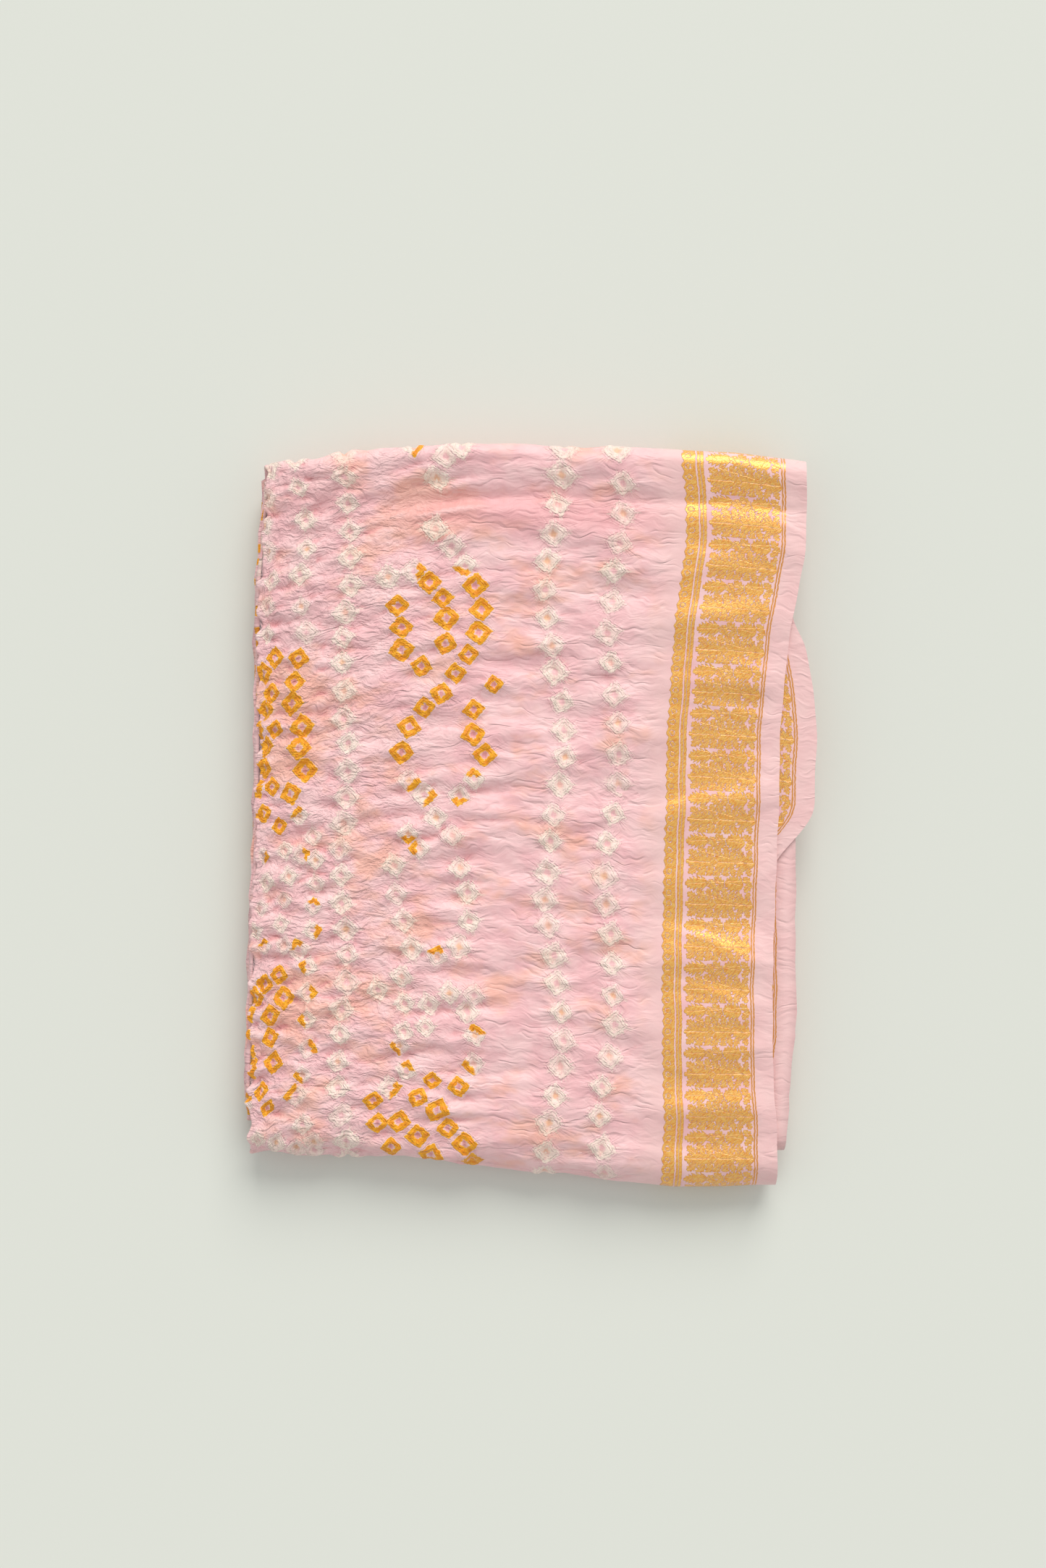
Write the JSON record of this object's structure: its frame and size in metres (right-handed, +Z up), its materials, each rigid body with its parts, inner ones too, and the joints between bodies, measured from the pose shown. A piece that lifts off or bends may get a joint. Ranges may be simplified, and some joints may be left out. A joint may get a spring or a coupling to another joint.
{
  "type": "folded bandhani cloth",
  "caption": "Long tie-dyed silk cloth with a woven gold border, doubled across its width and folded flat along its length.",
  "frame": {"origin": "middle of the folded cloth's outline, on its flat underside", "axes": "+Z up from the underside, +Y along the woven border, towards the rolled back edge; +X across the border, towards the open woven edges"},
  "size_m": [0.2785, 0.3618, 0.029],
  "materials": {
    "bandhani_silk": "soft pink silk with a low sheen, tie-dyed cream and orange squares, and a woven gold brocade border"
  },
  "bodies": {
    "root": {"folded_cloth": "bandhani_silk"}
  },
  "joints": []
}
